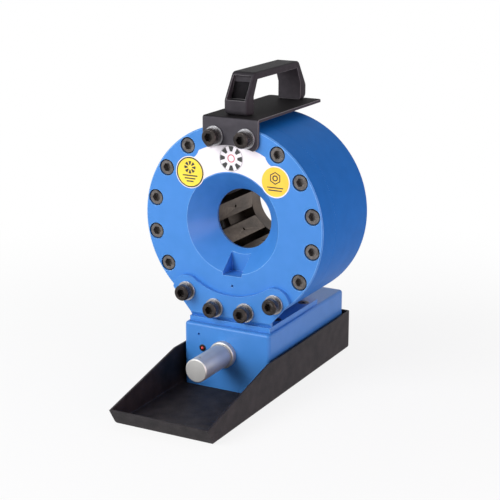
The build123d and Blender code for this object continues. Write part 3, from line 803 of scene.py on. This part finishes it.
def die_ring(centre, inner, outer, half_angle):
    """One wedge for each die round a centre, narrower towards the bore."""
    wedges = []
    near = half_angle * WEDGE_TAPER
    for k in range(DIE_COUNT):
        middle = DIE_STEP * k
        low = arc(inner, middle - near, middle + near, WEDGE_STEPS, centre)
        high = arc(outer, middle - half_angle, middle + half_angle, WEDGE_STEPS, centre)
        wedges.append((low, high, False))
    return wedges


printed("middle_disc", [disc(MIDDLE_R, MIDDLE_DISC)], 2, label_white)
middle_rim = ring(MIDDLE_R - 0.7, MIDDLE_R - 0.3, MIDDLE_DISC)
middle_dies = die_ring(MIDDLE_DISC, inner=7.0, outer=12.3, half_angle=13.5)
middle_bore = ring(inner=3.2, outer=4.0, centre=MIDDLE_DISC)
printed("middle_disc_rim", [middle_rim], 3, label_grey)
printed("middle_disc_dies", middle_dies, 3, label_black)
printed("middle_disc_bore", [middle_bore], 3, label_red)
print("middle disc radius", MIDDLE_R, "mm")

# %% Left label
LEFT_BORDER = 0.8
LEFT_RIM = (2.2, 0.9)
LEFT_BARS = 3
LEFT_BAR_DROP = 3.4
LEFT_BAR_PITCH = 2.9
LEFT_RING_RISE = 5.0
printed("left_disc_edge", [disc(LEFT_R, LEFT_DISC)], 2, label_white)
printed("left_disc", [disc(LEFT_R - LEFT_BORDER, LEFT_DISC)], 3, label_yellow)
left_rim = ring(LEFT_R - LEFT_RIM[0], LEFT_R - LEFT_RIM[1], LEFT_DISC)
printed("left_disc_rim", [left_rim], 4, label_black)
left_x, left_z = LEFT_DISC
left_marks = die_ring((left_x, left_z + LEFT_RING_RISE), inner=2.4, outer=6.4, half_angle=15.0)
for k in range(LEFT_BARS):
    left_marks.append(bar(left_x, left_z - LEFT_BAR_DROP - LEFT_BAR_PITCH * k,
                          width=17.0 - 4.5 * k, height=1.3))
printed("left_disc_marks", left_marks, 4, label_black)
print("left disc radius", LEFT_R, "mm")

# %% Right label
RIGHT_BORDER = 1.2
RIGHT_BARS = 2
RIGHT_BAR_DROP = 5.6
RIGHT_BAR_PITCH = 2.8
NUT_RISE = 3.8
printed("right_disc_edge", [disc(RIGHT_R, RIGHT_DISC)], 2, label_white)
printed("right_disc", [disc(RIGHT_R - RIGHT_BORDER, RIGHT_DISC)], 3, label_amber)
right_x, right_z = RIGHT_DISC
nut_centre = (right_x, right_z + NUT_RISE)
right_marks = [ring(inner=5.2, outer=6.4, centre=nut_centre, steps=6),
               ring(inner=1.8, outer=3.0, centre=nut_centre, steps=36)]
for k in range(RIGHT_BARS):
    right_marks.append(bar(right_x, right_z - RIGHT_BAR_DROP - RIGHT_BAR_PITCH * k,
                           width=17.5 - 2.5 * k, height=1.1))
printed("right_disc_marks", right_marks, 4, label_black)
print("right disc radius", RIGHT_R, "mm")


# %% [markdown]
# A cap screw's head is knurled so that fingers can start it. The knurl is one thin rib repeated round
# every head. Array modifiers could repeat it, one object for each head, but Geometry Nodes do them all
# at once: a circle of points carries the rib, the circle is set on each screw's centre, and the
# result is realised into one plain mesh.

# %% Geometry Nodes: ribs round the cap heads
def set_input(modifier, label, value):
    """Set a node tree's input by its label, through the socket's identifier."""
    for item in modifier.node_group.interface.items_tree:
        if item.item_type == "SOCKET" and item.in_out == "INPUT" and item.name == label:
            modifier[item.identifier] = value


def geometry_group(name, inputs):
    """A geometry node tree with named inputs; it returns the tree and its two end nodes."""
    tree = bpy.data.node_groups.new(name, "GeometryNodeTree")
    tree.interface.new_socket("Geometry", in_out="INPUT", socket_type="NodeSocketGeometry")
    for label, kind, default in inputs:
        socket = tree.interface.new_socket(label, in_out="INPUT", socket_type=kind)
        if default is not None:
            socket.default_value = default
    tree.interface.new_socket("Geometry", in_out="OUTPUT", socket_type="NodeSocketGeometry")
    return tree, tree.nodes.new("NodeGroupInput"), tree.nodes.new("NodeGroupOutput")


def rib_tree():
    """A ring of thin ribs round a Y axis, on every seed point."""
    kinds = [("Ribs", "NodeSocketInt", 36), ("Radius", "NodeSocketFloat", 0.008),
             ("Length", "NodeSocketFloat", 0.007), ("Rib width", "NodeSocketFloat", 0.0007),
             ("Finish", "NodeSocketMaterial", None)]
    tree, into, out = geometry_group("head_ribs", kinds)
    new = tree.nodes.new
    link = tree.links.new
    circle = new("GeometryNodeMeshCircle")
    upright = new("GeometryNodeTransform")
    upright.inputs["Rotation"].default_value = (math.pi / 2, 0.0, 0.0)
    rib = new("GeometryNodeMeshCylinder")
    rib.inputs["Vertices"].default_value = 6
    lay = new("GeometryNodeTransform")
    lay.inputs["Rotation"].default_value = (math.pi / 2, 0.0, 0.0)
    half = new("ShaderNodeMath")
    half.operation = "MULTIPLY"
    half.inputs[1].default_value = 0.5
    around = new("GeometryNodeInstanceOnPoints")
    heads = new("GeometryNodeInstanceOnPoints")
    real = new("GeometryNodeRealizeInstances")
    finish = new("GeometryNodeSetMaterial")
    link(into.outputs["Ribs"], circle.inputs["Vertices"])
    link(into.outputs["Radius"], circle.inputs["Radius"])
    link(circle.outputs["Mesh"], upright.inputs["Geometry"])
    link(into.outputs["Rib width"], half.inputs[0])
    link(half.outputs["Value"], rib.inputs["Radius"])
    link(into.outputs["Length"], rib.inputs["Depth"])
    link(rib.outputs["Mesh"], lay.inputs["Geometry"])
    link(upright.outputs["Geometry"], around.inputs["Points"])
    link(lay.outputs["Geometry"], around.inputs["Instance"])
    link(into.outputs["Geometry"], heads.inputs["Points"])
    link(around.outputs["Instances"], heads.inputs["Instance"])
    link(heads.outputs["Instances"], real.inputs["Geometry"])
    link(real.outputs["Geometry"], finish.inputs["Geometry"])
    link(into.outputs["Finish"], finish.inputs["Material"])
    link(finish.outputs["Geometry"], out.inputs["Geometry"])
    return tree


# %% Run a tree and keep its mesh
def run_tree(name, tree, points, body, slot, **inputs):
    """Run a tree on a few seed points and keep the result as a plain mesh."""
    mesh = bpy.data.meshes.new(name + "_seed")
    mesh.from_pydata([tuple(p) for p in points], [], [])
    piece = bpy.data.objects.new(name, mesh)
    bpy.context.scene.collection.objects.link(piece)
    modifier = piece.modifiers.new("build", "NODES")
    modifier.node_group = tree
    for label, value in inputs.items():
        set_input(modifier, label.replace("_", " "), value)
    graph = bpy.context.evaluated_depsgraph_get()
    plain = bpy.data.meshes.new_from_object(piece.evaluated_get(graph))
    piece.modifiers.clear()
    piece.data = plain
    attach(piece, body)
    print(name, len(plain.polygons), "faces")
    return piece


# %% Ribs on the proud cap heads
HEAD_MIDDLE = 5.4 * MM
RIB_COUNT = 40
RIB_RING_R = 7.95 * MM
RIB_LENGTH = 7.6 * MM
RIB_WIDTH = 0.62 * MM


def head_centres(node, angles):
    """Middle of each proud screw head of one node."""
    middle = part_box(node)[0].y + HEAD_MIDDLE
    return [Vector((AXIS.x + PITCH_R * math.sin(math.radians(a)), middle,
                    AXIS.z + PITCH_R * math.cos(math.radians(a)))) for a in angles]


HEAD_RIBS = rib_tree()
PROUD_HEADS = {
    "handle_bracket_screws": (-11.25, 11.25),
    "saddle_screws_front": (146.25, 168.75, 191.25, 213.75),
}
for node, angles in PROUD_HEADS.items():
    run_tree(node + "_knurl", HEAD_RIBS, head_centres(node, angles), "frame", "black_oxide",
             Ribs=RIB_COUNT, Radius=RIB_RING_R, Length=RIB_LENGTH, Rib_width=RIB_WIDTH,
             Finish=black_oxide)

# %% [markdown]
# Eight coil springs push the dies apart. A screw modifier could wind the wire, but a spiral curve with
# a round profile keeps the turns and the wire's size as plain inputs. Each spring rides on one die.

# %% Geometry Nodes: die springs
def spring_tree():
    """A coil along Z, centred on the origin."""
    kinds = [("Turns", "NodeSocketFloat", 7.0), ("Coil radius", "NodeSocketFloat", 0.003),
             ("Wire radius", "NodeSocketFloat", 0.0004), ("Length", "NodeSocketFloat", 0.0236),
             ("Finish", "NodeSocketMaterial", None)]
    tree, into, out = geometry_group("coil_spring", kinds)
    new = tree.nodes.new
    link = tree.links.new
    coil = new("GeometryNodeCurveSpiral")
    coil.inputs["Resolution"].default_value = 16
    lower = new("GeometryNodeTransform")
    shift = new("ShaderNodeCombineXYZ")
    half = new("ShaderNodeMath")
    half.operation = "MULTIPLY"
    half.inputs[1].default_value = -0.5
    wire = new("GeometryNodeCurvePrimitiveCircle")
    wire.inputs["Resolution"].default_value = 6
    body = new("GeometryNodeCurveToMesh")
    body.inputs["Fill Caps"].default_value = True
    finish = new("GeometryNodeSetMaterial")
    real = new("GeometryNodeRealizeInstances")
    link(into.outputs["Turns"], coil.inputs["Rotations"])
    link(into.outputs["Coil radius"], coil.inputs["Start Radius"])
    link(into.outputs["Coil radius"], coil.inputs["End Radius"])
    link(into.outputs["Length"], coil.inputs["Height"])
    link(into.outputs["Length"], half.inputs[0])
    link(half.outputs["Value"], shift.inputs["Z"])
    link(coil.outputs["Curve"], lower.inputs["Geometry"])
    link(shift.outputs["Vector"], lower.inputs["Translation"])
    link(into.outputs["Wire radius"], wire.inputs["Radius"])
    link(lower.outputs["Geometry"], body.inputs["Curve"])
    link(wire.outputs["Curve"], body.inputs["Profile Curve"])
    link(body.outputs["Mesh"], real.inputs["Geometry"])
    link(real.outputs["Geometry"], finish.inputs["Geometry"])
    link(into.outputs["Finish"], finish.inputs["Material"])
    link(finish.outputs["Geometry"], out.inputs["Geometry"])
    return tree


# %% Springs between the dies
SPRING_TURNS = 8.0
SPRING_COIL_R = 2.8 * MM
SPRING_WIRE_R = 0.4 * MM
SPRING_LENGTH = 22.6 * MM
COIL_SPRING = spring_tree()
SPRINGS = sorted(n for n in nodes if n.startswith("die_spring_"))
for number, node in enumerate(SPRINGS):
    low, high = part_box(node)
    centre = (low + high) / 2
    turn = math.radians(DIE_STEP * (number + 0.5))
    along = Vector((math.cos(turn), 0.0, -math.sin(turn)))
    coil = run_tree(node + "_coil", COIL_SPRING, [Vector()], nodes[node]["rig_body"], "spring_steel",
                    Turns=SPRING_TURNS, Coil_radius=SPRING_COIL_R, Wire_radius=SPRING_WIRE_R,
                    Length=SPRING_LENGTH, Finish=turned_steel)
    place = Matrix.Translation(centre) @ along.to_track_quat("Z", "Y").to_matrix().to_4x4()
    coil.data.transform(place)
    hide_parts(node)
    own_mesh(coil)


# %% [markdown]
# The knob's rim is divided into fifty, as on a micrometer, by short dark bars. Engraving them would
# need a cut for each, and a painted ring would need unwrapping. The tree that makes the screws' ribs
# fits as it is: fifty thin ribs, sunk until only a hair stands proud of the metal.

# %% Knob rim marks
MARK_COUNT = 50
MARK_SINK = 0.08 * MM
MARK_INSET = 2.1 * MM
MARK_LENGTH = 2.4 * MM
MARK_WIDTH = 0.26 * MM
mark_centre = Vector((KNOB_X, knob_high.y - MARK_INSET, KNOB_Z))
run_tree("knob_rim_marks", HEAD_RIBS, [mark_centre], "knob", "knob_aluminium", Ribs=MARK_COUNT,
         Radius=KNOB_R - MARK_SINK, Length=MARK_LENGTH, Rib_width=MARK_WIDTH, Finish=label_black)

# %% [markdown]
# The stage is a plain pale floor under soft studio light. A merely white floor would be dimmer than
# the white behind it, or need so much light that the object's colours fade. So the floor mixes a
# diffuse surface, which takes the object's shadow, with a white glow that only the camera and
# reflections see. Near the object the glow lets the shadow through. Further out it is complete, which
# hides the horizon.

# %% Floor
FLOOR_HALF = 3.0
FLOOR_DROP = 0.0002
FLOOR_PAINT = (0.86, 0.86, 0.87, 1)
FLOOR_GLOW = 0.86
FLOOR_NEAR = 0.15
FLOOR_FAR = 0.75
WHITE = (1, 1, 1, 1)


def floor_material():
    material = bpy.data.materials.new("studio_floor")
    material.use_nodes = True
    tree = material.node_tree
    tree.nodes.clear()
    new = tree.nodes.new
    link = tree.links.new
    out = new("ShaderNodeOutputMaterial")
    plain = new("ShaderNodeBsdfDiffuse")
    plain.inputs["Color"].default_value = FLOOR_PAINT
    white = new("ShaderNodeEmission")
    white.inputs["Color"].default_value = WHITE
    share = new("ShaderNodeMixShader")
    path = new("ShaderNodeLightPath")
    place = new("ShaderNodeTexCoord")
    away = new("ShaderNodeVectorMath")
    away.operation = "LENGTH"
    fade = new("ShaderNodeMapRange")
    fade.interpolation_type = "SMOOTHSTEP"
    fade.inputs["From Min"].default_value = FLOOR_NEAR
    fade.inputs["From Max"].default_value = FLOOR_FAR
    fade.inputs["To Min"].default_value = FLOOR_GLOW
    fade.inputs["To Max"].default_value = 1.0
    amount = new("ShaderNodeMath")
    amount.operation = "MULTIPLY"
    seen = new("ShaderNodeMath")
    seen.operation = "MAXIMUM"
    link(place.outputs["Object"], away.inputs[0])
    link(away.outputs["Value"], fade.inputs["Value"])
    link(fade.outputs["Result"], amount.inputs[1])
    link(path.outputs["Is Camera Ray"], seen.inputs[0])
    link(path.outputs["Is Glossy Ray"], seen.inputs[1])
    link(seen.outputs["Value"], amount.inputs[0])
    link(amount.outputs["Value"], share.inputs["Fac"])
    link(plain.outputs["BSDF"], share.inputs[1])
    link(white.outputs["Emission"], share.inputs[2])
    link(share.outputs["Shader"], out.inputs["Surface"])
    return material


def stage_floor():
    mesh = bpy.data.meshes.new("studio_floor")
    signs = [(-1, -1), (1, -1), (1, 1), (-1, 1)]
    corners = [(FLOOR_HALF * x, FLOOR_HALF * y, -FLOOR_DROP) for x, y in signs]
    mesh.from_pydata(corners, [], [(0, 1, 2, 3)])
    mesh.materials.append(floor_material())
    floor = bpy.data.objects.new("studio_floor", mesh)
    bpy.context.scene.collection.objects.link(floor)


stage_floor()
print("floor", 2 * FLOOR_HALF, "m wide")

# %% [markdown]
# The world shows white to the camera, to reflections and through glass, while a weaker cool grey lights
# the object, so colours come out about as they are written. A studio picture could do both, but it
# would have to be read from a file. The grey weakens towards the zenith, which keeps level tops dark.

# %% World
FILL_COLOUR = (0.92, 0.95, 1.0, 1)
FILL_LOW = 0.5
FILL_HIGH = 0.12
CEILING_LOW = 0.1
CEILING_HIGH = 0.8


def stage_world():
    world = bpy.data.worlds.new("studio")
    bpy.context.scene.world = world
    world.use_nodes = True
    tree = world.node_tree
    tree.nodes.clear()
    new = tree.nodes.new
    link = tree.links.new
    out = new("ShaderNodeOutputWorld")
    fill = new("ShaderNodeBackground")
    fill.inputs["Color"].default_value = FILL_COLOUR
    place = new("ShaderNodeTexCoord")
    height = new("ShaderNodeSeparateXYZ")
    ceiling = new("ShaderNodeMapRange")
    ceiling.inputs["From Min"].default_value = CEILING_LOW
    ceiling.inputs["From Max"].default_value = CEILING_HIGH
    ceiling.inputs["To Min"].default_value = FILL_LOW
    ceiling.inputs["To Max"].default_value = FILL_HIGH
    white = new("ShaderNodeBackground")
    white.inputs["Color"].default_value = WHITE
    white.inputs["Strength"].default_value = 1.0
    path = new("ShaderNodeLightPath")
    seen = new("ShaderNodeMath")
    seen.operation = "MAXIMUM"
    through = new("ShaderNodeMath")
    through.operation = "MAXIMUM"
    share = new("ShaderNodeMixShader")
    link(place.outputs["Generated"], height.inputs["Vector"])
    link(height.outputs["Z"], ceiling.inputs["Value"])
    link(ceiling.outputs["Result"], fill.inputs["Strength"])
    link(path.outputs["Is Camera Ray"], seen.inputs[0])
    link(path.outputs["Is Glossy Ray"], seen.inputs[1])
    link(seen.outputs["Value"], through.inputs[0])
    link(path.outputs["Is Transmission Ray"], through.inputs[1])
    link(through.outputs["Value"], share.inputs["Fac"])
    link(fill.outputs["Background"], share.inputs[1])
    link(white.outputs["Background"], share.inputs[2])
    link(share.outputs["Shader"], out.inputs["Surface"])


stage_world()
print("world fill", FILL_LOW, "to", FILL_HIGH)

# %% [markdown]
# One large soft box high on the left front is the key light. A second, faintly pink, stands low on the
# right and keeps the cylinder's side readable, and a weak one hangs overhead. Sun lamps would need no
# placing, but their shadows are hard and the gloss enamel would show no soft reflection.

# %% Lights
LIGHT_TARGET = (0.0, 0.02, 0.15)


def soft_box(name, place, size, power, colour=(1, 1, 1)):
    """A square area light turned towards the machine."""
    lamp = bpy.data.lights.new(name, "AREA")
    lamp.size = size
    lamp.energy = power
    lamp.color = colour
    piece = bpy.data.objects.new(name, lamp)
    bpy.context.scene.collection.objects.link(piece)
    piece.location = place
    aim = Vector(LIGHT_TARGET) - Vector(place)
    piece.rotation_euler = aim.to_track_quat("-Z", "Y").to_euler()


soft_box("key_box", (-0.7, -1.3, 0.9), size=1.0, power=26.0)
soft_box("side_box", (1.5, -0.4, 0.35), size=0.9, power=11.0, colour=(1.0, 0.70, 0.80))
soft_box("top_box", (0.1, 0.3, 1.6), size=1.2, power=3.0)
print("lights", len(bpy.data.lights))

# %% [markdown]
# The camera stands right of the axis and a little above it, about 1.4 m away. A wide lens close by
# would stretch the near parts, and a long one keeps the head's circle nearly true.

# %% Camera
AZIMUTH = math.radians(28.257)
ELEVATION = math.radians(15.674)
SENSOR = 36.0
LENS = 98.24
CAMERA_PLACE = Vector((0.63696, -1.14699, AXIS.z + 0.3415))
camera = bpy.data.objects.new("camera", bpy.data.cameras.new("camera"))
camera.data.sensor_width = SENSOR
camera.data.lens = LENS
camera.location = CAMERA_PLACE
camera.rotation_euler = (math.pi / 2 - ELEVATION, 0.0, AZIMUTH)
bpy.context.scene.collection.objects.link(camera)
bpy.context.scene.camera = camera
bpy.context.scene.view_settings.view_transform = "Standard"
print("camera distance", round((CAMERA_PLACE - AXIS).length, 3))
